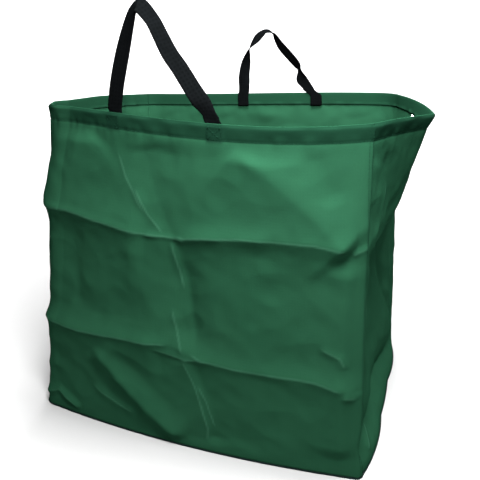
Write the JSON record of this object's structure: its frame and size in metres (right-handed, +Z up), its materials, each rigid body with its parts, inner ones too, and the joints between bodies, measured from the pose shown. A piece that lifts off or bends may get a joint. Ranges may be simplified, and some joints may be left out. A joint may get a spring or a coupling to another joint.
{
  "type": "garden waste bag",
  "caption": "Open rectangular garden waste bag of dark green coated cloth, standing by itself on a flat base, with black webbing carrying handles.",
  "frame": {"origin": "middle of the base's underside, on the ground", "axes": "+X along the front panel to the viewer's right, +Y to the back, +Z up"},
  "size_m": [0.6771, 0.514, 0.7146],
  "materials": {
    "green_cloth": "semi-gloss coated weave",
    "base_cloth": "matte coated weave",
    "black_webbing": "matte woven",
    "label_tape": "satin tape"
  },
  "bodies": {
    "bag": {"base_panel": "base_cloth", "wall_front_left": "green_cloth", "wall_back_right": "green_cloth", "front_handle_left_end": "black_webbing", "front_handle_right_end": "black_webbing", "rear_handle_left_end": "black_webbing", "rear_handle_right_end": "black_webbing"},
    "front_handle": {"front_handle_loop": "black_webbing"},
    "rear_handle": {"rear_handle_loop": "black_webbing"},
    "label": {"care_label": "label_tape"}
  },
  "joints": [
    {"name": "front_handle_swing", "type": "hinge", "parent": "bag", "child": "front_handle", "pos_m": [-0.01417, -0.23747, 0.56398], "axis": [0.9943, -0.0939, -0.0497], "range_deg": [-130, 100]},
    {"name": "rear_handle_swing", "type": "hinge", "parent": "bag", "child": "rear_handle", "pos_m": [0.02725, 0.24233, 0.5687], "axis": [0.9994, 0.0005, 0.0333], "range_deg": [-130, 135]},
    {"name": "care_label_flap", "type": "hinge", "parent": "bag", "child": "label", "pos_m": [0.3179, 0.10396, 0.53586], "axis": [-0.2494, 0.9672, 0.0485], "range_deg": [0, 95]}
  ]
}
